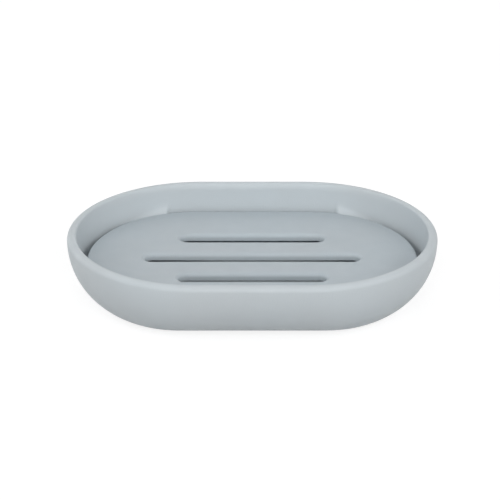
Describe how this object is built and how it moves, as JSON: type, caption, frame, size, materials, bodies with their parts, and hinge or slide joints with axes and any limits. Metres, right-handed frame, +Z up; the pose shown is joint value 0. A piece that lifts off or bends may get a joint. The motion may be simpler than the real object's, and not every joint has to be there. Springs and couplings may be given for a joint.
{
  "type": "soap dish",
  "caption": "Shallow stadium-plan soap dish with curved sides and a rounded rim, holding a lift-out drain tray with rounded slots above a drip bowl.",
  "frame": {"origin": "on the counter, under the middle of the dish", "axes": "+X along the length of the dish, +Y across it towards the back, +Z up out of the bowl"},
  "size_m": [0.14, 0.1, 0.0245],
  "materials": {
    "dish_plastic": "satin pale blue-grey moulding",
    "tray_plastic": "fine matte pale blue-grey moulding",
    "pad_rubber": "matte grey non-slip pad"
  },
  "bodies": {
    "dish": {"dish": "dish_plastic", "foot_pad_front_left": "pad_rubber", "foot_pad_front_right": "pad_rubber", "foot_pad_back_left": "pad_rubber", "foot_pad_back_right": "pad_rubber"},
    "tray": {"drain_tray": "tray_plastic"}
  },
  "joints": [
    {"name": "tray_lift", "type": "slide", "parent": "dish", "child": "tray", "axis": [0, 0, 1], "range_m": [0, 0.04]}
  ]
}
